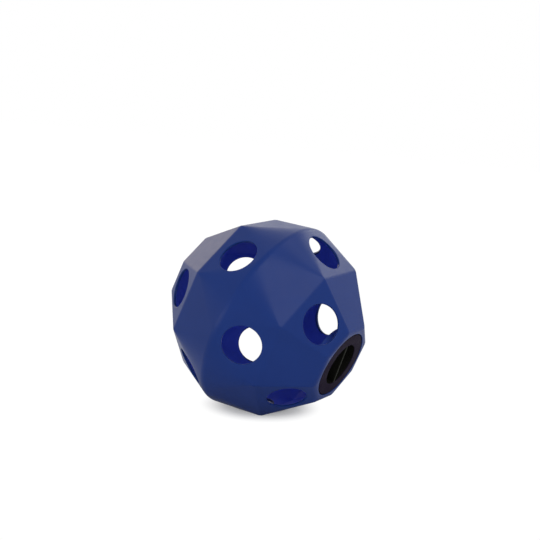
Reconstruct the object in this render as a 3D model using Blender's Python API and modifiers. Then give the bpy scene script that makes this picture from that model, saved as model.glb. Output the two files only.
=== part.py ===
"""Hay ball feeder: a hollow, faceted plastic ball with round feeding holes and a screw-in stopper.

The ball is modelled about its own axis, local +Z, which runs out through the stopper. An empty at the
centre lays it on one of its skirt facets, as it rests on the floor. Metres, +Z up.
"""

import math

import bmesh
import bpy
from mathutils import Matrix, Vector

# Ball form: eight gores between two flat caps, mirrored about a round equator
GORES = 8
CAP_RADIUS = 0.0860  # corner radius of the octagonal caps, before rounding
CAP_HEIGHT = 0.1833  # cap plane above the equator plane
CAP_ROUND = 0.016  # rounding from the slope facets over into the caps
CAP_STEPS = 2
SHOULDER_RADIUS = 0.1708  # corner radius of the octagon between slope and skirt facets
SHOULDER_HEIGHT = 0.1032
SKIRT_RADIUS = 0.2015  # where the two skirts would meet if the equator were sharp
EQUATOR_ROUND = 0.020
EQUATOR_RINGS = 5
EQUATOR_POINTS = 48
WALL = 0.0050

# Feeding holes, on every second facet of each ring
HOLE_RADIUS = 0.0387
HOLE_LIP = 0.0020  # width of the rounded rim on the facet
HOLE_BREAK = 0.0013  # depth of the rim's outer, 45 degree part
HOLE_EASE = 0.0034  # depth below which the hole's wall runs straight
HOLE_SEGMENTS = 32
SLOPE_HOLE_AT = 0.504  # share of the slope facet's height, from the cap
SKIRT_HOLE_AT = 0.485  # share of the skirt facet's height, from the shoulder
CUT_OUT = 0.006  # how far a hole's cutter stands out of the facet
CUT_IN = 0.018  # and how far it reaches in

# Filling mouth: a recess for the stopper's flange, and a threaded neck that runs inwards
ROUND_SEGMENTS = 48
MOUTH_RADIUS = 0.0700
MOUTH_ROUND = 0.0007
SEAT_DEPTH = 0.0098  # seat of the flange below the cap plane
NECK_BORE = 0.0572
NECK_RADIUS = 0.0620
NECK_DEPTH = 0.0372  # end of the neck below the cap plane

# Screw thread shared by the neck and the stopper
PITCH = 0.0090
THREAD_TURNS = 2.0
THREAD_STEPS = 36  # per turn
THREAD_FOOT = 0.0046
THREAD_CREST = 0.0016
THREAD_HEIGHT = 0.0022
THREAD_ROOT = 0.0006  # how deep a thread's foot is sunk in its wall

# Stopper
FLANGE_RADIUS = 0.0683
FLANGE_THICK = 0.0065
FLANGE_ROUND = 0.0012
FLANGE_SUNK = 0.0004  # flange face below the cap plane
SKIRT_WALL = 0.0036
CORE_RADIUS = 0.0540  # outside of the threaded skirt, between the threads
STOPPER_LENGTH = 0.0320
CUP_RADIUS = 0.0443
CUP_WALL = 0.0032
CUP_DEPTH = 0.0270
GRIP_WIDTH = 0.0060
GRIP_SUNK = 0.0003  # grip web below the flange face
GRIP_TURN = math.radians(-33)

# Seal ring under the flange
SEAL_GAP = 0.0003
SEAL_INNER = 0.0578
SEAL_OUTER = 0.0660

# The facet that the ball rests on, as its gore's azimuth about the ball's axis
REST_AZIMUTH = math.radians(135)

FLAT_LIMIT = math.radians(0.5)  # hull faces closer than this to one plane are one facet
MERGE = 0.00001


def clear_scene():
    for obj in list(bpy.data.objects):
        bpy.data.objects.remove(obj, do_unlink=True)


def collection(name):
    made = bpy.data.collections.new(name)
    bpy.context.scene.collection.children.link(made)
    return made


def plastic(name, colour, roughness):
    material = bpy.data.materials.new(name)
    material.use_nodes = True
    shader = material.node_tree.nodes["Principled BSDF"]
    shader.inputs["Base Color"].default_value = (*colour, 1.0)
    shader.inputs["Roughness"].default_value = roughness
    shader.inputs["Metallic"].default_value = 0.0
    return material


def add_object(name, mesh, group, centre, material=None):
    obj = bpy.data.objects.new(name, mesh)
    group.objects.link(obj)
    obj.parent = centre
    if material:
        mesh.materials.append(material)
    return obj


def as_cutter(obj):
    obj.hide_render = True
    obj.display_type = "WIRE"
    return obj


def boolean(obj, name, operation, other):
    modifier = obj.modifiers.new(name, "BOOLEAN")
    modifier.operation = operation
    modifier.solver = "EXACT"
    if isinstance(other, bpy.types.Collection):
        modifier.operand_type = "COLLECTION"
        modifier.collection = other
    else:
        modifier.object = other


def crossing(first, second):
    """Where two lines, each a point and a direction in a plane, cross."""
    (start, along), (other_start, other_along) = first, second
    span = other_start - start
    share = span.cross(other_along) / along.cross(other_along)
    return start + along * share


def gore_corners(inset):
    """Cap, shoulder and skirt corners of a gore's middle section, as (radius, height).

    Every face is moved in by inset, so the same function gives the outside and the inside of the wall.
    """
    flat = math.cos(math.pi / GORES)
    cap = Vector((CAP_RADIUS * flat, CAP_HEIGHT))
    shoulder = Vector((SHOULDER_RADIUS * flat, SHOULDER_HEIGHT))
    skirt = Vector((SKIRT_RADIUS, 0.0))
    rear_shoulder = Vector((shoulder.x, -shoulder.y))
    section = [Vector((0.0, CAP_HEIGHT)), cap, shoulder, skirt, rear_shoulder]
    faces = []
    for start, end in zip(section, section[1:]):
        along = (end - start).normalized()
        inward = Vector((along.y, -along.x))
        faces.append((start + inward * inset, along))
    return [crossing(*pair) for pair in zip(faces, faces[1:])]


def rounded(before, corner, after, radius, steps):
    """Points of the arc that rounds a corner between two others."""
    back = (before - corner).normalized()
    ahead = (after - corner).normalized()
    half = back.angle(ahead) / 2
    centre = corner + (back + ahead).normalized() * (radius / math.sin(half))
    reach = radius / math.tan(half)
    first = corner + back * reach - centre
    last = corner + ahead * reach - centre
    return [centre + first.lerp(last, step / steps).normalized() * radius for step in range(steps + 1)]


def ball_points(inset):
    """Corner points whose convex hull is the ball's form, moved in by inset."""
    cap, shoulder, skirt = gore_corners(inset)
    flat = math.cos(math.pi / GORES)
    points = []
    middle_of_cap = Vector((0.0, cap.y))
    for corner in (*rounded(middle_of_cap, cap, shoulder, CAP_ROUND - inset, CAP_STEPS), shoulder):
        for gore in range(GORES):
            azimuth = (gore + 0.5) * 2 * math.pi / GORES
            ring = Matrix.Rotation(azimuth, 3, "Z") @ Vector((corner.x / flat, 0.0, 0.0))
            points += [ring + Vector((0.0, 0.0, side * corner.y)) for side in (1, -1)]
    lean = math.atan2(skirt.x - shoulder.x, shoulder.y)
    rounding = EQUATOR_ROUND - inset
    middle = skirt.x - rounding / math.cos(lean)
    for ring in range(EQUATOR_RINGS):
        rise = lean * (2 * ring / (EQUATOR_RINGS - 1) - 1)
        radius = middle + rounding * math.cos(rise)
        height = rounding * math.sin(rise)
        for point in range(EQUATOR_POINTS):
            azimuth = point * 2 * math.pi / EQUATOR_POINTS
            points.append(Vector((radius * math.cos(azimuth), radius * math.sin(azimuth), height)))
    return points


def ball_mesh(name, inset):
    """The faceted ball as a closed hull, with flat facets left whole."""
    bm = bmesh.new()
    for point in ball_points(inset):
        bm.verts.new(point)
    hull = bmesh.ops.convex_hull(bm, input=bm.verts)
    bmesh.ops.delete(bm, geom=hull["geom_interior"], context="VERTS")
    bmesh.ops.dissolve_limit(bm, angle_limit=FLAT_LIMIT, verts=bm.verts, edges=bm.edges)
    bmesh.ops.recalc_face_normals(bm, faces=bm.faces)
    mesh = bpy.data.meshes.new(name)
    bm.to_mesh(mesh)
    bm.free()
    return mesh


def turned(name, profile, segments, group, centre, material=None):
    """A turned piece: (radius, height) points, down the outer side, swept about the ball's axis."""
    mesh = bpy.data.meshes.new(name)
    points = [(radius, 0.0, height) for radius, height in profile]
    edges = [(i, i + 1) for i in range(len(points) - 1)]
    mesh.from_pydata(points, edges, [])
    obj = add_object(name, mesh, group, centre, material)
    screw = obj.modifiers.new("Turn", "SCREW")
    screw.axis = "Z"
    screw.angle = 2 * math.pi
    screw.steps = screw.render_steps = segments
    screw.use_merge_vertices = True
    screw.merge_threshold = MERGE
    return obj


def thread(name, wall_radius, outward, low, group, centre):
    """A helical ridge on a round wall: outward is 1 on a stopper's skirt and -1 in a neck's bore."""
    foot = wall_radius - outward * THREAD_ROOT
    crest = wall_radius + outward * THREAD_HEIGHT
    bm = bmesh.new()
    section = [
        (foot, -THREAD_FOOT / 2),
        (crest, -THREAD_CREST / 2),
        (crest, THREAD_CREST / 2),
        (foot, THREAD_FOOT / 2),
    ]
    face = bm.faces.new([bm.verts.new((radius, 0.0, low + rise)) for radius, rise in section])
    steps = round(THREAD_STEPS * THREAD_TURNS)
    bmesh.ops.spin(
        bm,
        geom=[face, *face.edges, *face.verts],
        cent=(0, 0, 0),
        axis=(0, 0, 1),
        dvec=(0, 0, PITCH / THREAD_STEPS),
        angle=2 * math.pi * THREAD_TURNS,
        steps=steps,
    )
    bmesh.ops.recalc_face_normals(bm, faces=bm.faces)
    mesh = bpy.data.meshes.new(name)
    bm.to_mesh(mesh)
    bm.free()
    return as_cutter(add_object(name, mesh, group, centre))


def facet_frame(azimuth, at, side, start, end):
    """Frame on a facet's middle line, +Z out of the facet; side is 1 on the front half, -1 on the rear."""
    along = (end - start).normalized()
    spot = start + (end - start) * at
    outward = Vector((-along.y, 0.0, side * along.x))
    turn = outward.to_track_quat("Z", "Y").to_matrix().to_4x4()
    place = Matrix.Translation((spot.x, 0.0, side * spot.y))
    return Matrix.Rotation(azimuth, 4, "Z") @ place @ turn


def feed_hole_frames():
    """The holes take every second facet, so that they alternate between neighbouring rings."""
    cap, shoulder, skirt = gore_corners(0.0)
    step = 2 * math.pi / GORES
    for side in (1, -1):
        slope_turn = 0 if side > 0 else step
        for hole in range(GORES // 2):
            azimuth = hole * 2 * step
            yield facet_frame(azimuth + slope_turn, SLOPE_HOLE_AT, side, cap, shoulder)
            yield facet_frame(azimuth + step - slope_turn, SKIRT_HOLE_AT, side, shoulder, skirt)


def rest_matrix():
    """Lays the ball on its rest facet, with the middle of its box over the origin and its foot at zero."""
    _, shoulder, skirt = gore_corners(0.0)
    polar = math.atan2(shoulder.y, skirt.x - shoulder.x)
    turn = Matrix.Rotation(math.pi - polar, 4, "Y") @ Matrix.Rotation(-REST_AZIMUTH, 4, "Z")
    points = [turn @ point for point in ball_points(0.0)]
    low = [min(point[axis] for point in points) for axis in range(3)]
    high = [max(point[axis] for point in points) for axis in range(3)]
    lift = (-(low[0] + high[0]) / 2, -(low[1] + high[1]) / 2, -low[2])
    return Matrix.Translation(lift) @ turn


def make_shell(parts, cutters, holes, centre):
    blue = plastic("blue_plastic", (0.020, 0.036, 0.155), 0.42)
    shell = add_object("ball_shell", ball_mesh("ball_shell", 0.0), parts, centre, blue)

    hollow = as_cutter(add_object("hollow", ball_mesh("hollow", WALL), cutters, centre))
    boolean(shell, "Hollow", "DIFFERENCE", hollow)

    seat = CAP_HEIGHT - SEAT_DEPTH
    neck_end = CAP_HEIGHT - NECK_DEPTH
    socket = MOUTH_RADIUS + WALL
    in_cap = CAP_HEIGHT - WALL / 2
    neck_profile = [
        (0.0, in_cap),
        (socket, in_cap),
        (socket, seat - WALL),
        (NECK_RADIUS, seat - WALL),
        (NECK_RADIUS, neck_end),
        (0.0, neck_end),
    ]
    neck = as_cutter(turned("neck", neck_profile, ROUND_SEGMENTS, cutters, centre))
    boolean(shell, "Neck", "UNION", neck)

    above = CAP_HEIGHT + CUT_OUT
    bore_profile = [
        (0.0, above),
        (MOUTH_RADIUS + MOUTH_ROUND + CUT_OUT, above),
        (MOUTH_RADIUS, CAP_HEIGHT - MOUTH_ROUND),
        (MOUTH_RADIUS, seat),
        (NECK_BORE, seat),
        (NECK_BORE, neck_end - CUT_OUT),
        (0.0, neck_end - CUT_OUT),
    ]
    bore = as_cutter(turned("bore", bore_profile, ROUND_SEGMENTS, cutters, centre))
    boolean(shell, "Bore", "DIFFERENCE", bore)

    hole_profile = [
        (0.0, CUT_OUT),
        (HOLE_RADIUS + HOLE_LIP + CUT_OUT, CUT_OUT),
        (HOLE_RADIUS + HOLE_LIP - HOLE_BREAK, -HOLE_BREAK),
        (HOLE_RADIUS, -HOLE_EASE),
        (HOLE_RADIUS, -CUT_IN),
        (0.0, -CUT_IN),
    ]
    for number, frame in enumerate(feed_hole_frames()):
        name = f"feed_hole_{number + 1:02d}"
        cutter = as_cutter(turned(name, hole_profile, HOLE_SEGMENTS, holes, centre))
        cutter.matrix_local = frame
    boolean(shell, "Feed holes", "DIFFERENCE", holes)

    low = neck_end + THREAD_FOOT
    ridge = thread("neck_thread", NECK_BORE, -1, low, cutters, centre)
    boolean(shell, "Thread", "UNION", ridge)


def make_stopper(parts, cutters, centre):
    black = plastic("black_plastic", (0.016, 0.014, 0.019), 0.40)
    face = CAP_HEIGHT - FLANGE_SUNK
    under = face - FLANGE_THICK
    bottom = face - STOPPER_LENGTH
    floor = face - CUP_DEPTH
    cup_outside = CUP_RADIUS + CUP_WALL
    skirt_inside = CORE_RADIUS - SKIRT_WALL
    profile = [
        (0.0, floor),
        (CUP_RADIUS, floor),
        (CUP_RADIUS, face),
        (FLANGE_RADIUS - FLANGE_ROUND, face),
        (FLANGE_RADIUS, face - FLANGE_ROUND),
        (FLANGE_RADIUS, under),
        (CORE_RADIUS, under),
        (CORE_RADIUS, bottom),
        (skirt_inside, bottom),
        (skirt_inside, under),
        (cup_outside, under),
        (cup_outside, floor - CUP_WALL),
        (0.0, floor - CUP_WALL),
    ]
    stopper = turned("stopper", profile, ROUND_SEGMENTS, parts, centre, black)

    bm = bmesh.new()
    bmesh.ops.create_cube(bm, size=1.0)
    top = face - GRIP_SUNK
    low = floor - CUP_WALL / 2
    size = (2 * CUP_RADIUS + CUP_WALL, GRIP_WIDTH, top - low)
    bmesh.ops.scale(bm, vec=size, verts=bm.verts)
    bmesh.ops.translate(bm, vec=(0.0, 0.0, (top + low) / 2), verts=bm.verts)
    mesh = bpy.data.meshes.new("grip_web")
    bm.to_mesh(mesh)
    bm.free()
    web = as_cutter(add_object("grip_web", mesh, cutters, centre))
    web.rotation_euler.z = GRIP_TURN
    boolean(stopper, "Grip web", "UNION", web)

    # Half a pitch up from the neck's ridge, the stopper's ridge runs in the middle of its groove
    low = CAP_HEIGHT - NECK_DEPTH + THREAD_FOOT + PITCH / 2
    ridge = thread("skirt_thread", CORE_RADIUS, 1, low, cutters, centre)
    boolean(stopper, "Thread", "UNION", ridge)


def make_seal(parts, centre):
    rubber = plastic("seal_rubber", (0.030, 0.030, 0.032), 0.75)
    low = CAP_HEIGHT - SEAT_DEPTH + SEAL_GAP
    high = CAP_HEIGHT - FLANGE_SUNK - FLANGE_THICK - SEAL_GAP
    profile = [
        (SEAL_INNER, high),
        (SEAL_OUTER, high),
        (SEAL_OUTER, low),
        (SEAL_INNER, low),
        (SEAL_INNER, high),
    ]
    turned("stopper_seal", profile, ROUND_SEGMENTS, parts, centre, rubber)


def main():
    clear_scene()
    parts = collection("hay_ball_feeder")
    cutters = collection("cutters")
    holes = collection("feed_hole_cutters")
    centre = bpy.data.objects.new("ball_centre", None)
    parts.objects.link(centre)
    centre.matrix_world = rest_matrix()
    make_shell(parts, cutters, holes, centre)
    make_stopper(parts, cutters, centre)
    make_seal(parts, centre)
    bpy.context.view_layer.update()


main()
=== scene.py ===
"""Hay ball feeder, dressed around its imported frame.

A moulded, faceted ball with round feeding holes, the black screw-in stopper that closes its filling mouth
and the rubber ring under the stopper's flange. Every piece is modelled about the ball's own axis, local +Z,
which runs out through the stopper, and is then laid on its rest facet. Metres, +Z up.
"""

import math

import bpy
from bpy.props import FloatProperty, FloatVectorProperty, IntProperty, PointerProperty
from mathutils import Matrix, Vector


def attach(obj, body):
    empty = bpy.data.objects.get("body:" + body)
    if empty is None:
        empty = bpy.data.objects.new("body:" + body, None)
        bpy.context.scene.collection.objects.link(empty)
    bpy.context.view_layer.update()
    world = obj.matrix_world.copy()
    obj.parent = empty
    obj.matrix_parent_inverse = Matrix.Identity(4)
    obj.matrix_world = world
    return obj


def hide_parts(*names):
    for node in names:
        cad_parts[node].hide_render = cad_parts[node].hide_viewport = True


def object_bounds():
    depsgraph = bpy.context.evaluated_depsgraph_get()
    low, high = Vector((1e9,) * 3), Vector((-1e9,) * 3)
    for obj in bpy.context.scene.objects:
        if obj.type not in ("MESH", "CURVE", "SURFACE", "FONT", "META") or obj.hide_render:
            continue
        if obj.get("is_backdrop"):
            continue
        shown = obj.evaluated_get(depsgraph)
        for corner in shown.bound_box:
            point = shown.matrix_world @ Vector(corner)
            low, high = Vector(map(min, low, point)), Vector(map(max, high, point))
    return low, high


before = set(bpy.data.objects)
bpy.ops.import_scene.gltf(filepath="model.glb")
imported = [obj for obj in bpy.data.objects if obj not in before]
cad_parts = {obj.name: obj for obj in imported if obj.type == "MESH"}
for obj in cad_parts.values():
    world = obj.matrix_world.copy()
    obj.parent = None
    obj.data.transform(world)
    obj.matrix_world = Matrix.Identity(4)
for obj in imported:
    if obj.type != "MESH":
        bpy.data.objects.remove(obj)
cad_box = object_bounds()

bl_info = {
    "name": "Hay Ball Feeder",
    "version": (1, 0, 0),
    "blender": (4, 5, 0),
    "location": "View3D > Sidebar > Hay Ball",
    "description": "Models a faceted hay ball feeder with its screw-in stopper and a white studio",
    "category": "Add Mesh",
}

MERGE = 0.00001

GORES = 8
GORE_ARC_STEPS = 8
EQUATOR_RINGS = 13
EQUATOR_POINTS = 192
FLAT_LIMIT = math.radians(0.3)  # faces closer than this to one plane are one facet
SHARP_EDGE = math.radians(8.0)  # edges from here on are bevelled
SMOOTH_ANGLE = math.radians(32.0)  # edges up to here are shaded smooth
SKIRT_TILTS = (math.radians(16.0), math.radians(24.0))  # the skirts and their fans lie between these
BEVEL_SEGMENTS = 4

ROUND_SEGMENTS = 96
RIM_TURN = math.radians(78.0)  # a rim's arc stops short of lying flush with its face
RIM_STEPS = 6
CUTTER_SPREAD = 0.0200  # how much wider than its rim a cutter ends
CUTTER_REACH = 0.0060  # how far a cutter goes past the face that it cuts
INNER_FLARE = 0.0020  # how much wider than its inner rim a hole's cutter ends
INNER_STEP = 0.0004  # where it is that wide, below the inner face
INNER_REACH = 0.0100  # how far it goes past the inner face
NECK_OVERLAP = 0.0020  # how far the neck's solid reaches into its bore before boring

THREAD_ROOT = 0.0006  # how deep a thread's foot is sunk in its wall
THREAD_STEPS = 72  # a turn
THREAD_FADE = 8  # steps over which a thread's end sinks into its wall

SOCKET_ROUND = 0.0030
NECK_ROOT_ROUND = 0.0020
NECK_END_ROUND = 0.0010
SEAT_ROUND = 0.0008
CUP_DRAFT = 0.0008
CUP_FLOOR_ROUND = 0.0025
CUP_LIP_ROUND = 0.0012
CUP_LIP = 0.0010  # the cup's painted shade and dull finish start this far below the flange's face
CUP_FLOOR_EDGE = 0.0040  # where the cup's flat floor starts, from its wall
CUP_UNDER_EDGE = 0.0060  # the same on its underside
FLANGE_UNDER_ROUND = 0.0008
SKIRT_END_ROUND = 0.0010
GROOVE_ROUND = 0.0015
GRIP_ROUND = 0.0009
GRIP_TOP_LEAN = 0.1  # faces of the web that look up more than this keep the painted highlight of its top edge
SEAL_ROUND = 0.35  # share of the ring's height

# Surfaces: satin as (smoothest, roughest), then grain and swell as (features per metre, height in metres)
OUTER_SURFACE = ((0.31, 0.36), (420.0, 0.00004), (22.0, 0.00005))
INNER_SURFACE = ((0.48, 0.58), (300.0, 0.00012), (30.0, 0.0008))
NECK_SURFACE = ((0.40, 0.50), (420.0, 0.00004), (22.0, 0.00005))
STOPPER_SURFACE = ((0.46, 0.56), (900.0, 0.00006), (40.0, 0.0001))
CUP_SURFACE = ((0.60, 0.70), (900.0, 0.00006), (40.0, 0.0001))
GRIP_SURFACE = ((0.40, 0.50), (900.0, 0.00006), (40.0, 0.0001))
SEAL_SURFACE = ((0.62, 0.78), (1400.0, 0.00005), (90.0, 0.0001))
CLOUDS_PER_METRE = 14.0
SHEENS_PER_METRE = 55.0

# Softboxes: (width, height) in metres, then azimuth and elevation in degrees and distance in metres
KEY_BOX = ((1.08, 1.08), (66.0, 42.0, 2.1))
FILL_BOX = ((2.0, 0.7), (-25.0, 5.0, 2.4))
LEFT_BOX = ((1.55, 1.2), (-126.2, 19.0, 2.2))
BACK_BOX = ((1.2, 0.8), (169.0, 33.0, 2.2))
TOP_BOX = ((0.7, 0.7), (124.0, 60.0, 2.1))
NEUTRAL_WHITE = (1.0, 1.0, 1.0)
FLOOR_SIZE = 12.0
FLOOR_WHITE = 1.02  # a little over full white, so that no open floor falls short of it
SENSOR_WIDTH = 36.0


def length(name, description, default):
    return FloatProperty(
        name=name, description=description, default=default, min=0.0, precision=4, unit="LENGTH"
    )


def angle(name, description, degrees):
    return FloatProperty(
        name=name, description=description, default=math.radians(degrees), unit="ROTATION"
    )


def colour(name, description, default):
    return FloatVectorProperty(
        name=name, description=description, default=default, size=3, min=0.0, max=1.0, subtype="COLOR"
    )


def factor(name, description, default):
    return FloatProperty(
        name=name, description=description, default=default, min=0.0, max=1.0, subtype="FACTOR"
    )


def power(name, description, default):
    return FloatProperty(name=name, description=description, default=default, min=0.0, unit="POWER")


class HayBallShape(bpy.types.PropertyGroup):
    """Sizes of the moulded ball."""

    cap_radius: length("Cap Radius", "Corner radius of the octagonal caps, before rounding", 0.0860)
    cap_height: length("Cap Height", "Cap plane above the equator plane", 0.1833)
    cap_round: length("Cap Rounding", "Rounding from the slope facets over into the caps", 0.0160)
    shoulder_radius: length("Shoulder Radius", "Corner radius between slope and skirt facets", 0.1708)
    shoulder_height: length("Shoulder Height", "Shoulder above the equator plane", 0.1032)
    shoulder_round: length("Shoulder Rounding", "Rounding between slope and skirt facets", 0.0180)
    skirt_radius: length("Skirt Radius", "Where the skirts would meet at a sharp equator", 0.2015)
    equator_round: length("Equator Rounding", "Rounding of the equator", 0.0200)
    edge_round: length("Edge Rounding", "Width of the rounding beside a facet's edge", 0.0022)
    wall: length("Wall", "Thickness of the moulded wall", 0.0050)
    hole_radius: length("Hole Radius", "Radius of the feeding holes", 0.0387)
    hole_lip: length("Hole Lip", "Rounding of a hole's outer rim", 0.0018)
    hole_inner_lip: length("Inner Lip", "Rounding of a hole's inner rim", 0.0010)
    slope_hole_at: factor("Slope Holes", "Share of the slope facet's height, from the cap", 0.504)
    skirt_hole_at: factor("Skirt Holes", "Share of the skirt facet's height, from the shoulder", 0.485)
    mouth_radius: length("Mouth Radius", "Radius of the recess round the stopper", 0.0700)
    mouth_lip: length("Mouth Lip", "Rounding of the mouth's edge", 0.0007)
    seat_depth: length("Seat Depth", "Seat of the seal below the cap plane", 0.0098)
    neck_bore: length("Neck Bore", "Inner radius of the neck", 0.0572)
    neck_radius: length("Neck Radius", "Outer radius of the neck", 0.0620)
    neck_depth: length("Neck Depth", "End of the neck below the cap plane", 0.0372)
    neck_rib: length("Neck Rib", "Height of the ribs that the thread leaves outside the neck", 0.0016)
    rib_drop: length("Rib Drop", "How far the ribs lie below the thread's groove", 0.0023)
    rest_azimuth: angle("Rest Facet", "Azimuth of the facet that the ball lies on", 135.0)


class StopperShape(bpy.types.PropertyGroup):
    """Sizes of the stopper, its thread and the seal ring."""

    pitch: length("Pitch", "Rise of the thread in one turn", 0.0090)
    thread_turns: IntProperty(
        name="Turns", description="Turns of thread", default=2, min=1, subtype="UNSIGNED"
    )
    thread_foot: length("Thread Foot", "Width of the thread at its foot", 0.0046)
    thread_crest: length("Thread Crest", "Width of the thread at its crest", 0.0016)
    thread_height: length("Thread Height", "Height of the thread over its wall", 0.0022)
    flange_radius: length("Flange Radius", "Radius of the flange", 0.0683)
    flange_thick: length("Flange Thickness", "Thickness of the flange", 0.0065)
    flange_round: length("Flange Rounding", "Rounding of the flange's rim", 0.0016)
    flange_sunk: length("Flange Sunk", "Flange face below the cap plane", 0.0004)
    core_radius: length("Core Radius", "Outside of the threaded skirt", 0.0540)
    skirt_wall: length("Skirt Wall", "Thickness of the threaded skirt", 0.0036)
    skirt_length: length("Length", "Whole length of the stopper", 0.0320)
    cup_radius: length("Cup Radius", "Radius of the finger cup", 0.0443)
    cup_wall: length("Cup Wall", "Thickness of the finger cup", 0.0032)
    cup_depth: length("Cup Depth", "Depth of the finger cup", 0.0270)
    grip_width: length("Grip Width", "Thickness of the grip web", 0.0048)
    grip_sunk: length("Grip Sunk", "Grip web below the flange face", 0.0003)
    grip_turn: angle("Grip Turn", "Turn of the grip web about the stopper's axis", -34.0)
    seal_inner: length("Seal Bore", "Inner radius of the seal ring", 0.0578)
    seal_outer: length("Seal Radius", "Outer radius of the seal ring", 0.0660)
    seal_gap: length("Seal Gap", "Clearance above and below the seal ring", 0.0003)


class HayBallFinish(bpy.types.PropertyGroup):
    """Colours and gloss of the plastics and the rubber, with painted light in the inner skin and neck,
    painted shade in the finger cup and a painted highlight on the grip web.
    """

    blue: colour("Ball Blue", "Pigment of the moulded ball", (0.0072, 0.0292, 0.165))
    blue_deep: colour("Ball Deep Blue", "Darker clouds in the pigment", (0.0069, 0.0275, 0.156))
    blue_gloss: factor("Ball Specular", "Specular level of the ball", 0.125)
    # Painted light: the inner skin and its clouds are painted far brighter than the outside, for light that
    # comes in through the wall and the holes.
    inside: colour("Inside Blue", "Inner skin, lit also through the wall", (0.044, 0.085, 0.585))
    inside_deep: colour("Inside Deep Blue", "Darker clouds on the inner skin", (0.040, 0.078, 0.545))
    inside_gloss: factor("Inside Specular", "Specular level of the inner skin", 0.08)
    # Painted light: the neck and its clouds are painted lighter, for light that reaches it through the wall
    # and the holes.
    neck: colour("Neck Blue", "Neck, where some light comes through", (0.034, 0.078, 0.36))
    neck_deep: colour("Neck Deep Blue", "Darker clouds on the neck", (0.030, 0.070, 0.33))
    black: colour("Stopper Black", "Pigment of the stopper", (0.0090, 0.0045, 0.0165))
    black_worn: colour("Stopper Grey", "Paler clouds on the stopper", (0.0110, 0.0062, 0.0190))
    black_gloss: factor("Stopper Specular", "Specular level of the stopper", 0.016)
    # Painted shade: the cup's inside is a darker, neutral black for the shade in the recess; its paler
    # clouds vary at random.
    cup: colour("Cup Black", "Pigment of the finger cup's dull inside", (0.0060, 0.0060, 0.0052))
    cup_shade_pale: colour("Cup Grey", "Paler clouds inside the finger cup", (0.0085, 0.0085, 0.0074))
    # Painted highlight: the grip web's top edge is painted a paler grey, for light caught on its rounded
    # edge.
    grip: colour("Grip Grey", "Edge of the grip web, rubbed by hands", (0.0130, 0.0140, 0.0110))
    grip_highlight_pale: colour("Grip Pale Grey", "Most rubbed parts of that edge", (0.0180, 0.0190, 0.0150))
    rubber: colour("Seal Rubber", "Rubber of the seal ring", (0.020, 0.020, 0.021))
    rubber_bloom: colour("Rubber Bloom", "Pale bloom on the rubber", (0.034, 0.034, 0.035))
    rubber_gloss: factor("Rubber Specular", "Specular level of the seal ring", 0.3)


class StudioSettings(bpy.types.PropertyGroup):
    """The white studio: camera, light and floor."""

    camera_azimuth: angle("Camera Azimuth", "Camera's bearing from -Y towards +X", 29.90)
    camera_elevation: angle("Camera Elevation", "Camera's height over the horizon", 11.78)
    camera_roll: angle("Camera Roll", "Turn of the camera about its view", 2.95)
    camera_distance: length("Camera Distance", "From the camera to the ball's centre", 2.5825)
    lens: FloatProperty(
        name="Lens", description="Focal length in millimetres", default=86.0, unit="CAMERA"
    )
    aim: FloatVectorProperty(
        name="Aim", description="Ball's centre in the picture, as shares from its middle", size=2,
        default=(-0.00367, -0.0855), subtype="XYZ",
    )
    level: factor("Level", "Light from the surroundings at eye level", 0.88)
    overhead: factor("Overhead", "Light from the surroundings overhead", 0.36)
    key: power("Key Light", "Power of the softbox over the camera's right", 12.8)
    fill: power("Fill Light", "Power of the low softbox in front on the left", 10.0)
    left: power("Left Light", "Power of the softbox behind on the left", 6.6)
    back: power("Back Light", "Power of the high softbox behind", 6.9)
    top: power("Top Light", "Power of the small softbox overhead", 2.8)
    warm: colour("Warm White", "Colour of the left light", (1.0, 0.83, 0.56))
    creamy: colour("Creamy White", "Colour of the back light", (1.0, 0.98, 0.86))
    floor: colour("Floor", "Colour of the floor", (0.95, 0.95, 0.95))
    floor_mirrored: factor("Floor Mirrored", "Share of white that the gloss shows on open floor", 0.85)
    floor_shaded: factor("Floor Shaded", "Share of white that the gloss shows under the ball", 0.19)
    floor_lift: factor("Floor Lift", "Share of plain white in the floor under the ball's edge", 0.33)
    floor_aside: FloatProperty(
        name="Shadow Middle", description="Middle of the shadow, along X from the ball's centre",
        default=-0.007, unit="LENGTH",
    )
    floor_core: length("Shadow Core", "Radius within which the floor is left as it is lit", 0.048)
    floor_near: length("Shadow Edge", "Radius from which the floor has its lift", 0.062)
    floor_far: length("Shadow Reach", "Radius at which the floor is plain white", 0.132)
    floor_open: length("Open Floor", "Radius from which the gloss shows the floor unshaded", 0.28)


def clear_selection():
    active = bpy.context.object
    if active and active.mode != "OBJECT":
        bpy.ops.object.mode_set(mode="OBJECT")
    bpy.ops.object.select_all(action="DESELECT")


def pick(piece):
    clear_selection()
    piece.select_set(True)
    bpy.context.view_layer.objects.active = piece


def ring(vertices, radius, height, turn=0.0, fill="NOTHING"):
    bpy.ops.mesh.primitive_circle_add(
        vertices=vertices, radius=radius, fill_type=fill, location=(0, 0, height), rotation=(0, 0, turn)
    )
    return bpy.context.object


def eased(corners, steps=5):
    """Profile points from (radius, height, rounding) corners, with an arc at each rounded one."""
    points = []
    for index, (radius, height, rounding) in enumerate(corners):
        here = Vector((radius, height))
        if not rounding:
            points.append(here)
            continue
        back = (Vector(corners[index - 1][:2]) - here).normalized()
        ahead = (Vector(corners[index + 1][:2]) - here).normalized()
        half = back.angle(ahead) / 2
        reach = rounding / math.tan(half)
        centre = here + (back + ahead).normalized() * (rounding / math.sin(half))
        first = here + back * reach - centre
        last = here + ahead * reach - centre
        for step in range(steps + 1):
            points.append(centre + first.lerp(last, step / steps).normalized() * rounding)
    return points


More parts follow.
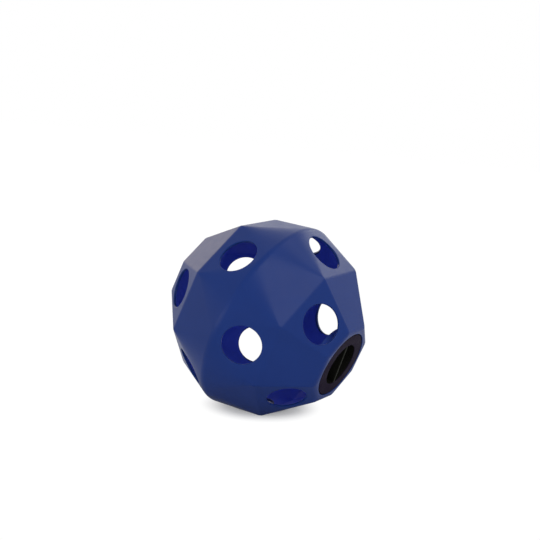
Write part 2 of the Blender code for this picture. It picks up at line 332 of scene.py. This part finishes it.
def turned(name, profile, closed=False):
    """A turned solid: a disc at the profile's first point, extruded and scaled along the others.

    A closed profile comes back to its first point, so that the solid is a ring.
    """
    clear_selection()
    (radius, height), *others = profile
    piece = ring(ROUND_SEGMENTS, radius, height, fill="NOTHING" if closed else "NGON")
    piece.name = name
    bpy.ops.object.transform_apply()
    bpy.ops.object.mode_set(mode="EDIT")
    for next_radius, next_height in others:
        rise = (0.0, 0.0, next_height - height)
        bpy.ops.mesh.extrude_region_move(TRANSFORM_OT_translate={"value": rise})
        scale = next_radius / radius
        bpy.ops.transform.resize(value=(scale, scale, 1.0), center_override=(0.0, 0.0, next_height))
        radius, height = next_radius, next_height
    bpy.ops.mesh.select_all(action="SELECT")
    bpy.ops.mesh.remove_doubles(threshold=MERGE)
    bpy.ops.mesh.normals_make_consistent(inside=False)
    bpy.ops.object.mode_set(mode="OBJECT")
    return piece


def volume(piece):
    """Volume of a closed piece, negative where its faces point inwards."""
    return sum(face.center.dot(face.normal) * face.area for face in piece.data.polygons) / 3


def thread_ridge(name, wall_radius, outward, low, height, stopper):
    """A helical ridge on a round wall, swept by a Screw modifier, whose ends sink into the wall."""
    foot = wall_radius - outward * THREAD_ROOT
    crest = wall_radius + outward * height
    clear_selection()
    bpy.ops.mesh.primitive_plane_add(
        size=1.0, location=((foot + crest) / 2, 0.0, low), rotation=(math.pi / 2, 0.0, 0.0)
    )
    piece = bpy.context.object
    piece.name = name
    piece.scale = (abs(crest - foot), stopper.thread_foot, 1.0)
    bpy.ops.object.transform_apply()
    bpy.ops.object.mode_set(mode="EDIT")
    bpy.ops.mesh.delete(type="ONLY_FACE")
    bpy.ops.object.mode_set(mode="OBJECT")
    narrow = stopper.thread_crest / stopper.thread_foot
    for vertex in piece.data.vertices:
        if abs(vertex.co.x - crest) < THREAD_ROOT / 2:
            vertex.co.z = low + (vertex.co.z - low) * narrow
    screw = piece.modifiers.new("Sweep", "SCREW")
    screw.axis = "Z"
    screw.angle = 2 * math.pi
    screw.screw_offset = stopper.pitch
    screw.iterations = stopper.thread_turns
    screw.steps = THREAD_STEPS
    screw.render_steps = THREAD_STEPS
    screw.use_merge_vertices = False
    bpy.ops.object.modifier_apply(modifier=screw.name)
    sections = len(piece.data.vertices) // 4
    for vertex in piece.data.vertices:
        section = vertex.index // 4
        share = min(section, sections - 1 - section) / THREAD_FADE
        if share < 1.0:
            radius = math.hypot(vertex.co.x, vertex.co.y)
            if abs(radius - crest) < THREAD_ROOT / 2:
                sunk = wall_radius + (crest - wall_radius) * (share - THREAD_ROOT / height * (1.0 - share))
                vertex.co.x *= sunk / radius
                vertex.co.y *= sunk / radius
    bpy.ops.object.mode_set(mode="EDIT")
    bpy.ops.mesh.select_all(action="SELECT")
    bpy.ops.mesh.fill_holes(sides=4)
    bpy.ops.mesh.normals_make_consistent(inside=False)
    bpy.ops.object.mode_set(mode="OBJECT")
    if volume(piece) < 0.0:
        bpy.ops.object.mode_set(mode="EDIT")
        bpy.ops.mesh.flip_normals()
        bpy.ops.object.mode_set(mode="OBJECT")
    return piece


def combine(piece, operation, tool):
    """Applies a boolean of tool to piece and removes the tool."""
    pick(piece)
    modifier = piece.modifiers.new(tool.name, "BOOLEAN")
    modifier.operation = operation
    modifier.solver = "EXACT"
    modifier.object = tool
    bpy.ops.object.modifier_apply(modifier=modifier.name)
    bpy.data.objects.remove(tool, do_unlink=True)


def skinned(piece, skins, number):
    """Gives piece all the skins and its faces the numbered one, which booleans then keep."""
    for skin in skins:
        piece.data.materials.append(skin)
    piece.data.polygons.foreach_set("material_index", [number] * len(piece.data.polygons))
    return piece


def crossing(first, second):
    """Where two lines, each a point and a direction in a plane, cross."""
    (start, along), (other_start, other_along) = first, second
    span = other_start - start
    return start + along * (span.cross(other_along) / along.cross(other_along))


def gore_corners(shape, inset=0.0):
    """Cap, shoulder and skirt corners of a gore's middle section as (radius, height), moved in by inset."""
    flat = math.cos(math.pi / GORES)
    shoulder = Vector((shape.shoulder_radius * flat, shape.shoulder_height))
    section = [
        Vector((0.0, shape.cap_height)),
        Vector((shape.cap_radius * flat, shape.cap_height)),
        shoulder,
        Vector((shape.skirt_radius, 0.0)),
        Vector((shoulder.x, -shoulder.y)),
    ]
    faces = []
    for start, end in zip(section, section[1:]):
        along = (end - start).normalized()
        faces.append((start + Vector((along.y, -along.x)) * inset, along))
    return [crossing(*pair) for pair in zip(faces, faces[1:])]


def skirt_lean(shape):
    """Lean of the skirt facets from the ball's axis."""
    _, shoulder, skirt = gore_corners(shape)
    return math.atan2(skirt.x - shoulder.x, shoulder.y)


def faceted_ball(name, shape, inset, edge_round):
    """The closed faceted form: octagons and equator rings under one hull, with its edges bevelled."""
    flat = math.cos(math.pi / GORES)
    turn = math.pi / GORES
    cap, shoulder, skirt = gore_corners(shape, inset)
    section = [
        (0.0, cap.y, 0.0),
        (*cap, shape.cap_round - inset),
        (*shoulder, shape.shoulder_round - inset),
        (*skirt, 0.0),
    ]
    octagons = eased(section, GORE_ARC_STEPS)[1:-1]
    clear_selection()
    ball = ring(GORES, octagons[0].x / flat, octagons[0].y, turn)
    ball.name = name
    bpy.ops.object.transform_apply()
    bpy.ops.object.mode_set(mode="EDIT")
    for octagon in octagons:
        ring(GORES, octagon.x / flat, octagon.y, turn)
        ring(GORES, octagon.x / flat, -octagon.y, turn)
    lean = skirt_lean(shape)
    rounding = shape.equator_round - inset
    middle = skirt.x - rounding / math.cos(lean)
    for number in range(EQUATOR_RINGS):
        rise = lean * (2 * number / (EQUATOR_RINGS - 1) - 1)
        ring(EQUATOR_POINTS, middle + rounding * math.cos(rise), rounding * math.sin(rise))
    bpy.ops.mesh.select_all(action="SELECT")
    bpy.ops.mesh.remove_doubles(threshold=MERGE)
    bpy.ops.mesh.convex_hull()
    bpy.ops.mesh.select_all(action="SELECT")
    bpy.ops.mesh.dissolve_limited(angle_limit=FLAT_LIMIT)
    bpy.ops.mesh.select_mode(type="EDGE")
    bpy.ops.mesh.select_all(action="DESELECT")
    bpy.ops.mesh.edges_select_sharp(sharpness=SHARP_EDGE)
    bpy.ops.mesh.bevel(offset=edge_round, segments=BEVEL_SEGMENTS, affect="EDGES")
    bpy.ops.object.mode_set(mode="OBJECT")
    return ball


def facet_frame(azimuth, at, side, start, end):
    """Frame on a facet's middle line, +Z out of it; side is 1 on the front half, -1 on the rear."""
    along = (end - start).normalized()
    spot = start.lerp(end, at)
    outward = Vector((-along.y, 0.0, side * along.x))
    turn = outward.to_track_quat("Z", "Y").to_matrix().to_4x4()
    return Matrix.Rotation(azimuth, 4, "Z") @ Matrix.Translation((spot.x, 0.0, side * spot.y)) @ turn


def feed_hole_frames(shape):
    """Frames of the holes, which take every second facet and alternate between the rings."""
    cap, shoulder, skirt = gore_corners(shape)
    step = 2 * math.pi / GORES
    for side in (1, -1):
        slope_turn = 0.0 if side > 0 else step
        for hole in range(GORES // 2):
            azimuth = hole * 2 * step
            yield facet_frame(azimuth + slope_turn, shape.slope_hole_at, side, cap, shoulder)
            yield facet_frame(azimuth + step - slope_turn, shape.skirt_hole_at, side, shoulder, skirt)


def rim(radius, lip, height):
    """Profile of a cutter down a rounded rim in a face at height, to where the wall runs straight."""
    points = [(radius + lip + CUTTER_SPREAD, height + CUTTER_REACH)]
    for step in range(RIM_STEPS + 1):
        turn = RIM_TURN * (1 - step / RIM_STEPS)
        points.append((radius + lip * (1 - math.cos(turn)), height - lip * (1 - math.sin(turn))))
    return points


def feed_hole_tool(shape, skins):
    """All hole cutters as one object: one turned cutter with flared rims, copied to every hole."""
    radius, inner, wall = shape.hole_radius, shape.hole_inner_lip, shape.wall
    profile = rim(radius, shape.hole_lip, 0.0)
    for step in range(RIM_STEPS + 1):
        turn = RIM_TURN * step / RIM_STEPS
        profile.append((radius + inner * (1 - math.cos(turn)), inner * (1 - math.sin(turn)) - wall))
    flare = radius + inner + INNER_FLARE
    profile += [(flare, -wall - INNER_STEP), (flare, -wall - INNER_REACH)]
    first = skinned(turned("feed_hole_tool", profile), skins, 0)
    copies = []
    for hole in feed_hole_frames(shape):
        pick(first)
        bpy.ops.object.duplicate(linked=False)
        copy = bpy.context.object
        copy.matrix_world = hole
        copies.append(copy)
    bpy.data.objects.remove(first, do_unlink=True)
    pick(copies[0])
    for copy in copies:
        copy.select_set(True)
    bpy.ops.object.join()
    bpy.ops.object.transform_apply()
    return bpy.context.object


def rest_matrix(shape):
    """Lays the ball on its rest facet, its centre over the origin."""
    lean = skirt_lean(shape)
    lift = Matrix.Translation((0.0, 0.0, shape.skirt_radius * math.cos(lean)))
    return lift @ Matrix.Rotation(math.pi / 2 + lean, 4, "Y") @ Matrix.Rotation(-shape.rest_azimuth, 4, "Z")


def flatten_skirts(ball, shape):
    """Shades the skirt facets and their fans flat, so that each keeps its own plane up to the shoulder."""
    steepest, flattest = (math.sin(tilt) for tilt in SKIRT_TILTS)
    strip = shape.equator_round * math.sin(skirt_lean(shape))
    for face in ball.data.polygons:
        tilt = face.normal.z * math.copysign(1.0, face.center.z)
        if abs(face.center.z) > strip and steepest < tilt < flattest:
            face.use_smooth = False


def lay_down(piece, shape, flat_skirts=False):
    """Sets a finished piece's normals and puts it in its place at rest, with its place in its mesh."""
    pick(piece)
    bpy.ops.object.shade_smooth_by_angle(angle=SMOOTH_ANGLE)
    if flat_skirts:
        flatten_skirts(piece, shape)
    weighted = piece.modifiers.new("Facet normals", "WEIGHTED_NORMAL")
    weighted.mode = "FACE_AREA"
    weighted.weight = 100
    weighted.thresh = MERGE
    weighted.keep_sharp = True
    bpy.ops.object.modifier_apply(modifier=weighted.name)
    piece.matrix_world = rest_matrix(shape)
    bpy.ops.object.transform_apply()


def node(tree, kind, label="", **inputs):
    made = tree.nodes.new(kind)
    made.label = label
    for name, value in inputs.items():
        made.inputs[name.replace("_", " ")].default_value = value
    return made


def noise(tree, source, scale, detail, roughness=0.5):
    made = node(tree, "ShaderNodeTexNoise", Scale=scale, Detail=detail, Roughness=roughness)
    tree.links.new(source.outputs["Object"], made.inputs["Vector"])
    return made


def moulded(name, pigment, cloud, specular, roughness, grain, swell):
    """A moulded surface: clouded pigment, uneven satin, a fine grain and a slow swell in the surface.

    grain and swell are (features per metre, height in metres); roughness is (smoothest, roughest).
    """
    material = bpy.data.materials.new(name)
    material.use_nodes = True
    tree = material.node_tree
    shader = tree.nodes["Principled BSDF"]
    shader.inputs["Specular IOR Level"].default_value = specular
    place = node(tree, "ShaderNodeTexCoord", "Place on the piece")

    clouds = noise(tree, place, CLOUDS_PER_METRE, 4.0, 0.6)
    mix = node(tree, "ShaderNodeMix", "Pigment clouds")
    mix.data_type = "RGBA"
    mix.inputs[6].default_value = (*cloud, 1.0)
    mix.inputs[7].default_value = (*pigment, 1.0)
    spread = node(tree, "ShaderNodeMapRange", "Cloud edges", From_Min=0.35, From_Max=0.65)
    tree.links.new(clouds.outputs["Fac"], spread.inputs["Value"])
    tree.links.new(spread.outputs["Result"], mix.inputs["Factor"])
    tree.links.new(mix.outputs[2], shader.inputs["Base Color"])

    sheen = noise(tree, place, SHEENS_PER_METRE, 3.0)
    satin = node(tree, "ShaderNodeMapRange", "Uneven satin", From_Min=0.3, From_Max=0.7)
    smoothest, roughest = roughness
    satin.inputs["To Min"].default_value = smoothest
    satin.inputs["To Max"].default_value = roughest
    tree.links.new(sheen.outputs["Fac"], satin.inputs["Value"])
    tree.links.new(satin.outputs["Result"], shader.inputs["Roughness"])

    slow = noise(tree, place, swell[0], 1.0)
    fine = noise(tree, place, grain[0], 2.0)
    swelling = node(tree, "ShaderNodeBump", "Slow swell", Strength=1.0, Distance=swell[1])
    peel = node(tree, "ShaderNodeBump", "Fine grain", Strength=1.0, Distance=grain[1])
    tree.links.new(slow.outputs["Fac"], swelling.inputs["Height"])
    tree.links.new(fine.outputs["Fac"], peel.inputs["Height"])
    tree.links.new(swelling.outputs["Normal"], peel.inputs["Normal"])
    tree.links.new(peel.outputs["Normal"], shader.inputs["Normal"])
    return material


def neck_tool(shape):
    """Solid outside of the mouth's socket and the neck below it."""
    seat = shape.cap_height - shape.seat_depth
    socket = shape.mouth_radius + shape.wall
    in_cap = shape.cap_height - shape.wall / 2
    neck_end = shape.cap_height - shape.neck_depth
    corners = [
        (socket, in_cap, 0.0),
        (socket, seat - shape.wall, SOCKET_ROUND),
        (shape.neck_radius, seat - shape.wall, NECK_ROOT_ROUND),
        (shape.neck_radius, neck_end, NECK_END_ROUND),
        (shape.neck_bore - NECK_OVERLAP, neck_end, 0.0),
    ]
    return turned("neck_tool", eased(corners))


def bore_tool(shape):
    """Everything that the mouth and the neck's bore take out, with a rounded lip at the cap."""
    seat = shape.cap_height - shape.seat_depth
    neck_end = shape.cap_height - shape.neck_depth
    corners = [
        (shape.mouth_radius, shape.cap_height - shape.mouth_lip, 0.0),
        (shape.mouth_radius, seat, SEAT_ROUND),
        (shape.neck_bore, seat, SEAT_ROUND),
        (shape.neck_bore, neck_end - CUTTER_REACH, 0.0),
    ]
    profile = rim(shape.mouth_radius, shape.mouth_lip, shape.cap_height)
    profile += [tuple(point) for point in eased(corners)[1:]]
    return turned("bore_tool", profile)


class HAYBALL_OT_ball(bpy.types.Operator):
    """Models the moulded ball: facets, hollow, mouth, threaded neck and feeding holes"""

    bl_idname = "hayball.ball"
    bl_label = "Moulded Ball"

    def execute(self, context):
        shape = context.scene.hay_ball
        stopper = context.scene.hay_stopper
        finish = context.scene.hay_finish
        gloss = finish.blue_gloss
        # The inner skin and the neck carry painted light: they are painted brighter than the outside for
        # light that comes through the wall.
        skins = (
            moulded("blue_polyethylene", finish.blue, finish.blue_deep, gloss, *OUTER_SURFACE),
            moulded(
                "blue_inner_skin_painted_light", finish.inside, finish.inside_deep, finish.inside_gloss, *INNER_SURFACE
            ),
            moulded("blue_neck_painted_light", finish.neck, finish.neck_deep, gloss, *NECK_SURFACE),
        )
        ball = skinned(faceted_ball("moulded_ball", shape, 0.0, shape.edge_round), skins, 0)
        hollow = faceted_ball("hollow_tool", shape, shape.wall, shape.edge_round / 2)
        combine(ball, "DIFFERENCE", skinned(hollow, skins, 1))
        combine(ball, "UNION", skinned(neck_tool(shape), skins, 2))
        combine(ball, "DIFFERENCE", skinned(bore_tool(shape), skins, 0))
        combine(ball, "DIFFERENCE", feed_hole_tool(shape, skins))
        neck_end = shape.cap_height - shape.neck_depth
        low = neck_end + stopper.thread_foot
        ridge = thread_ridge("thread_tool", shape.neck_bore, -1, low, stopper.thread_height, stopper)
        combine(ball, "UNION", skinned(ridge, skins, 0))
        rib_low = low + stopper.pitch / 2 - shape.rib_drop
        rib = thread_ridge("rib_tool", shape.neck_radius, 1, rib_low, shape.neck_rib, stopper)
        combine(ball, "UNION", skinned(rib, skins, 2))
        lay_down(ball, shape, flat_skirts=True)
        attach(ball, "ball")
        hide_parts("ball_shell")
        return {"FINISHED"}


def stopper_body(sizes, face, floor, plastics):
    """Flange, finger cup and skirt of the stopper as one turned piece; the cup's inside is rougher and
    painted a darker, neutral black as shade.
    """
    under = face - sizes.flange_thick
    bottom = face - sizes.skirt_length
    cup_inside = sizes.cup_radius - CUP_DRAFT
    cup_outside = sizes.cup_radius + sizes.cup_wall
    cup_under = floor - sizes.cup_wall
    skirt_inside = sizes.core_radius - sizes.skirt_wall
    corners = [
        (cup_inside - CUP_FLOOR_EDGE, floor, 0.0),
        (cup_inside, floor, CUP_FLOOR_ROUND),
        (sizes.cup_radius, face, CUP_LIP_ROUND),
        (sizes.flange_radius, face, sizes.flange_round),
        (sizes.flange_radius, under, FLANGE_UNDER_ROUND),
        (sizes.core_radius, under, FLANGE_UNDER_ROUND),
        (sizes.core_radius, bottom, SKIRT_END_ROUND),
        (skirt_inside, bottom, SKIRT_END_ROUND),
        (skirt_inside, under, GROOVE_ROUND),
        (cup_outside, under, GROOVE_ROUND),
        (cup_outside - CUP_DRAFT, cup_under, CUP_FLOOR_ROUND),
        (cup_outside - CUP_DRAFT - CUP_UNDER_EDGE, cup_under, 0.0),
    ]
    body = skinned(turned("screw_stopper", eased(corners)), plastics, 0)
    # The faces inside the cup take the painted shade.
    for side in body.data.polygons:
        reach = math.hypot(side.center.x, side.center.y)
        if reach < sizes.cup_radius and floor - MERGE < side.center.z < face - CUP_LIP:
            side.material_index = 1
    return body


def grip_web(sizes, face, floor, plastics):
    """The web across the finger cup, rounded along its top edge, which is painted paler as a highlight; its
    sides take the cup's painted shade.
    """
    top = face - sizes.grip_sunk
    low = floor - sizes.cup_wall / 2
    clear_selection()
    bpy.ops.mesh.primitive_cube_add(size=1.0, location=(0.0, 0.0, (top + low) / 2))
    web = bpy.context.object
    web.name = "grip_web"
    web.scale = (2 * sizes.cup_radius + sizes.cup_wall, sizes.grip_width, top - low)
    bpy.ops.object.transform_apply()
    bpy.ops.object.mode_set(mode="EDIT")
    bpy.ops.mesh.select_mode(type="EDGE")
    bpy.ops.mesh.select_all(action="DESELECT")
    bpy.ops.object.mode_set(mode="OBJECT")
    for edge in web.data.edges:
        ends = [web.data.vertices[index].co for index in edge.vertices]
        along = ends[0] - ends[1]
        edge.select = min(end.z for end in ends) > top - MERGE and abs(along.x) > sizes.grip_width
    bpy.ops.object.mode_set(mode="EDIT")
    bpy.ops.mesh.bevel(offset=GRIP_ROUND, segments=BEVEL_SEGMENTS, affect="EDGES")
    bpy.ops.object.mode_set(mode="OBJECT")
    web.rotation_euler.z = sizes.grip_turn
    bpy.ops.object.transform_apply()
    skinned(web, plastics, 2)
    for side in web.data.polygons:
        if side.normal.z < GRIP_TOP_LEAN:
            side.material_index = 1
    return web


class HAYBALL_OT_stopper(bpy.types.Operator):
    """Models the screw-in stopper: flange, finger cup, grip web and threaded skirt"""

    bl_idname = "hayball.stopper"
    bl_label = "Screw-in Stopper"

    def execute(self, context):
        shape = context.scene.hay_ball
        sizes = context.scene.hay_stopper
        finish = context.scene.hay_finish
        face = shape.cap_height - sizes.flange_sunk
        floor = face - sizes.cup_depth
        gloss = finish.black_gloss
        plastics = (
            moulded("black_stopper_plastic", finish.black, finish.black_worn, gloss, *STOPPER_SURFACE),
            moulded("black_cup_painted_shade", finish.cup, finish.cup_shade_pale, gloss, *CUP_SURFACE),
            moulded("grip_painted_highlight", finish.grip, finish.grip_highlight_pale, gloss, *GRIP_SURFACE),
        )
        stopper = stopper_body(sizes, face, floor, plastics)
        combine(stopper, "UNION", grip_web(sizes, face, floor, plastics))
        low = shape.cap_height - shape.neck_depth + sizes.thread_foot + sizes.pitch / 2
        ridge = thread_ridge("thread_tool", sizes.core_radius, 1, low, sizes.thread_height, sizes)
        combine(stopper, "UNION", ridge)
        lay_down(stopper, shape)
        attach(stopper, "stopper")
        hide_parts("stopper")
        return {"FINISHED"}


class HAYBALL_OT_seal(bpy.types.Operator):
    """Models the rubber ring between the stopper's flange and its seat"""

    bl_idname = "hayball.seal"
    bl_label = "Seal Ring"

    def execute(self, context):
        shape = context.scene.hay_ball
        sizes = context.scene.hay_stopper
        finish = context.scene.hay_finish
        low = shape.cap_height - shape.seat_depth + sizes.seal_gap
        high = shape.cap_height - sizes.flange_sunk - sizes.flange_thick - sizes.seal_gap
        rounding = (high - low) * SEAL_ROUND
        middle = (sizes.seal_inner + sizes.seal_outer) / 2
        corners = [
            (middle, high, 0.0),
            (sizes.seal_outer, high, rounding),
            (sizes.seal_outer, low, rounding),
            (sizes.seal_inner, low, rounding),
            (sizes.seal_inner, high, rounding),
            (middle, high, 0.0),
        ]
        seal = turned("seal_ring", eased(corners), closed=True)
        lay_down(seal, shape)
        rubber = moulded(
            "seal_rubber", finish.rubber, finish.rubber_bloom, finish.rubber_gloss, *SEAL_SURFACE
        )
        seal.data.materials.append(rubber)
        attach(seal, "seal")
        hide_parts("stopper_seal")
        return {"FINISHED"}


def arithmetic(tree, operation, label, first, second):
    made = node(tree, "ShaderNodeMath", label)
    made.operation = operation
    tree.links.new(first, made.inputs[0])
    tree.links.new(second, made.inputs[1])
    return made.outputs["Value"]


def shown_rays(tree):
    """Whether a ray shows the backdrop straight or through glass, and whether it does in a gloss."""
    rays = node(tree, "ShaderNodeLightPath").outputs
    straight = arithmetic(
        tree, "MAXIMUM", "Straight or through glass", rays["Is Camera Ray"], rays["Is Transmission Ray"]
    )
    return straight, rays["Is Glossy Ray"]


def white_surroundings(settings):
    """A world that is full white as seen or mirrored, and whose light on the object dims overhead."""
    world = bpy.data.worlds.new("white_surroundings")
    bpy.context.scene.world = world
    world.use_nodes = True
    tree = world.node_tree
    background = tree.nodes["Background"]
    background.inputs["Color"].default_value = (*NEUTRAL_WHITE, 1.0)
    straight, mirrored = shown_rays(tree)
    seen = arithmetic(tree, "MAXIMUM", "Or is mirrored", straight, mirrored)
    way = node(tree, "ShaderNodeTexCoord")
    parts = node(tree, "ShaderNodeSeparateXYZ")
    tree.links.new(way.outputs["Generated"], parts.inputs["Vector"])
    light = node(tree, "ShaderNodeMapRange", "Dimmer overhead")
    light.inputs["To Min"].default_value = settings.level
    light.inputs["To Max"].default_value = settings.overhead
    tree.links.new(parts.outputs["Z"], light.inputs["Value"])
    strength = node(tree, "ShaderNodeMix", "Light or backdrop")
    strength.inputs["B"].default_value = 1.0
    tree.links.new(light.outputs["Result"], strength.inputs["A"])
    tree.links.new(seen, strength.inputs["Factor"])
    tree.links.new(strength.outputs["Result"], background.inputs["Strength"])


def studio_floor(settings):
    """A white floor that keeps the ball's shadow and turns full white away from it; in the ball's gloss it
    shows a painted shade round the ball.
    """
    clear_selection()
    bpy.ops.mesh.primitive_plane_add(size=FLOOR_SIZE, location=(0.0, 0.0, 0.0))
    floor = bpy.context.object
    floor.name = "studio_floor"
    material = bpy.data.materials.new("white_floor")
    material.use_nodes = True
    tree = material.node_tree
    tree.nodes.remove(tree.nodes["Principled BSDF"])
    diffuse = node(tree, "ShaderNodeBsdfDiffuse", Color=(*settings.floor, 1.0))
    place = node(tree, "ShaderNodeTexCoord")
    distance = node(tree, "ShaderNodeVectorMath", "Distance from the ball")
    distance.operation = "DISTANCE"
    distance.inputs[1].default_value = (settings.floor_aside, 0.0, 0.0)
    tree.links.new(place.outputs["Object"], distance.inputs[0])
    ramp = node(tree, "ShaderNodeValToRGB", "Share of white")
    stops = ramp.color_ramp
    stops.interpolation = "EASE"
    stops.elements[0].position = settings.floor_core / settings.floor_far
    stops.elements[0].color = (0.0, 0.0, 0.0, 1.0)
    stops.elements[1].color = (1.0, 1.0, 1.0, 1.0)
    edge = stops.elements.new(settings.floor_near / settings.floor_far)
    edge.color = (settings.floor_lift,) * 3 + (1.0,)
    reach = node(tree, "ShaderNodeMath", "Share of the reach")
    reach.operation = "DIVIDE"
    reach.inputs[1].default_value = settings.floor_far
    tree.links.new(distance.outputs["Value"], reach.inputs[0])
    tree.links.new(reach.outputs["Value"], ramp.inputs["Fac"])
    straight, mirrored = shown_rays(tree)
    level = arithmetic(tree, "MULTIPLY", "Only where it shows", straight, ramp.outputs["Color"])
    shown = arithmetic(tree, "MAXIMUM", "Or is mirrored", level, mirrored)
    # Painted shade: in the gloss the floor is plain emission, darker near the ball and full white further
    # out.
    shade = node(tree, "ShaderNodeMapRange", "Shade in the gloss")
    shade.inputs["From Min"].default_value = settings.floor_far
    shade.inputs["From Max"].default_value = settings.floor_open
    shade.inputs["To Min"].default_value = settings.floor_shaded
    shade.inputs["To Max"].default_value = settings.floor_mirrored
    tree.links.new(distance.outputs["Value"], shade.inputs["Value"])
    strength = node(tree, "ShaderNodeMix", "Straight or mirrored")
    strength.inputs["A"].default_value = FLOOR_WHITE
    tree.links.new(shade.outputs["Result"], strength.inputs["B"])
    tree.links.new(mirrored, strength.inputs["Factor"])
    white = node(tree, "ShaderNodeEmission", "Backdrop white")
    tree.links.new(strength.outputs["Result"], white.inputs["Strength"])
    both = node(tree, "ShaderNodeMixShader")
    tree.links.new(shown, both.inputs["Fac"])
    tree.links.new(diffuse.outputs["BSDF"], both.inputs[1])
    tree.links.new(white.outputs["Emission"], both.inputs[2])
    tree.links.new(both.outputs["Shader"], tree.nodes["Material Output"].inputs["Surface"])
    floor.data.materials.append(material)
    floor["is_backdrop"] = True


def bearing(azimuth, elevation):
    """Direction from the object at an azimuth from -Y towards +X and an elevation."""
    level = math.cos(elevation)
    return Vector((math.sin(azimuth) * level, -math.cos(azimuth) * level, math.sin(elevation)))


def softbox(name, watts, tint, box, target):
    """A rectangular soft light that faces target from its place."""
    size, (azimuth, elevation, distance) = box
    outward = bearing(math.radians(azimuth), math.radians(elevation))
    clear_selection()
    bpy.ops.object.light_add(type="AREA", location=target + outward * distance)
    lamp = bpy.context.object
    lamp.name = name
    lamp.data.shape = "RECTANGLE"
    lamp.data.size, lamp.data.size_y = size
    lamp.data.energy = watts
    lamp.data.color = tint
    lamp.rotation_euler = outward.to_track_quat("Z", "Y").to_euler()


def studio_camera(settings, centre):
    """Camera at the photograph's angle, turned so that the ball's centre falls where it does there."""
    back = bearing(settings.camera_azimuth, settings.camera_elevation)
    bpy.ops.object.camera_add(location=centre + back * settings.camera_distance)
    camera = bpy.context.object
    camera.name = "studio_camera"
    camera.data.lens = settings.lens
    camera.data.sensor_width = SENSOR_WIDTH
    facing = back.to_track_quat("Z", "Y").to_matrix()
    roll = Matrix.Rotation(settings.camera_roll, 3, "Z")
    share = SENSOR_WIDTH / settings.lens
    aside = Matrix.Rotation(math.atan(settings.aim[0] * share), 3, "Y")
    above = Matrix.Rotation(-math.atan(settings.aim[1] * share), 3, "X")
    camera.rotation_euler = (facing @ roll @ aside @ above).to_euler()
    bpy.context.scene.camera = camera


class HAYBALL_OT_studio(bpy.types.Operator):
    """Sets up the white floor and surroundings, the soft light and the camera"""

    bl_idname = "hayball.studio"
    bl_label = "White Studio"

    def execute(self, context):
        settings = context.scene.hay_studio
        shape = context.scene.hay_ball
        centre = rest_matrix(shape).translation
        white_surroundings(settings)
        studio_floor(settings)
        softbox("key_softbox", settings.key, NEUTRAL_WHITE, KEY_BOX, centre)
        softbox("fill_softbox", settings.fill, NEUTRAL_WHITE, FILL_BOX, centre)
        softbox("left_softbox", settings.left, settings.warm, LEFT_BOX, centre)
        softbox("back_softbox", settings.back, settings.creamy, BACK_BOX, centre)
        softbox("top_softbox", settings.top, NEUTRAL_WHITE, TOP_BOX, centre)
        studio_camera(settings, centre)
        context.scene.view_settings.view_transform = "Standard"
        return {"FINISHED"}


class HAYBALL_PT_panel(bpy.types.Panel):
    """Lists the pieces and the studio in the sidebar"""

    bl_idname = "HAYBALL_PT_panel"
    bl_label = "Hay Ball Feeder"
    bl_space_type = "VIEW_3D"
    bl_region_type = "UI"
    bl_category = "Hay Ball"

    def draw(self, context):
        layout = self.layout
        for operator in OPERATORS:
            layout.operator(operator.bl_idname)
        for group in GROUPS:
            settings = getattr(context.scene, group)
            box = layout.box()
            for name in settings.__annotations__:
                box.prop(settings, name)


OPERATORS = (HAYBALL_OT_ball, HAYBALL_OT_stopper, HAYBALL_OT_seal, HAYBALL_OT_studio)
GROUPS = {
    "hay_ball": HayBallShape,
    "hay_stopper": StopperShape,
    "hay_finish": HayBallFinish,
    "hay_studio": StudioSettings,
}


def register():
    for made in (*GROUPS.values(), *OPERATORS, HAYBALL_PT_panel):
        bpy.utils.register_class(made)
    for name, group in GROUPS.items():
        setattr(bpy.types.Scene, name, PointerProperty(type=group))


def unregister():
    for name in GROUPS:
        delattr(bpy.types.Scene, name)
    for made in (HAYBALL_PT_panel, *reversed(OPERATORS), *reversed(GROUPS.values())):
        bpy.utils.unregister_class(made)


def main():
    register()
    bpy.ops.hayball.ball()
    bpy.ops.hayball.stopper()
    bpy.ops.hayball.seal()
    bpy.ops.hayball.studio()
    sizes = {"cad": cad_box, "visual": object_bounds()}
    {name: [list(corner) for corner in box] for name, box in sizes.items()}


if __name__ == "__main__":
    main()
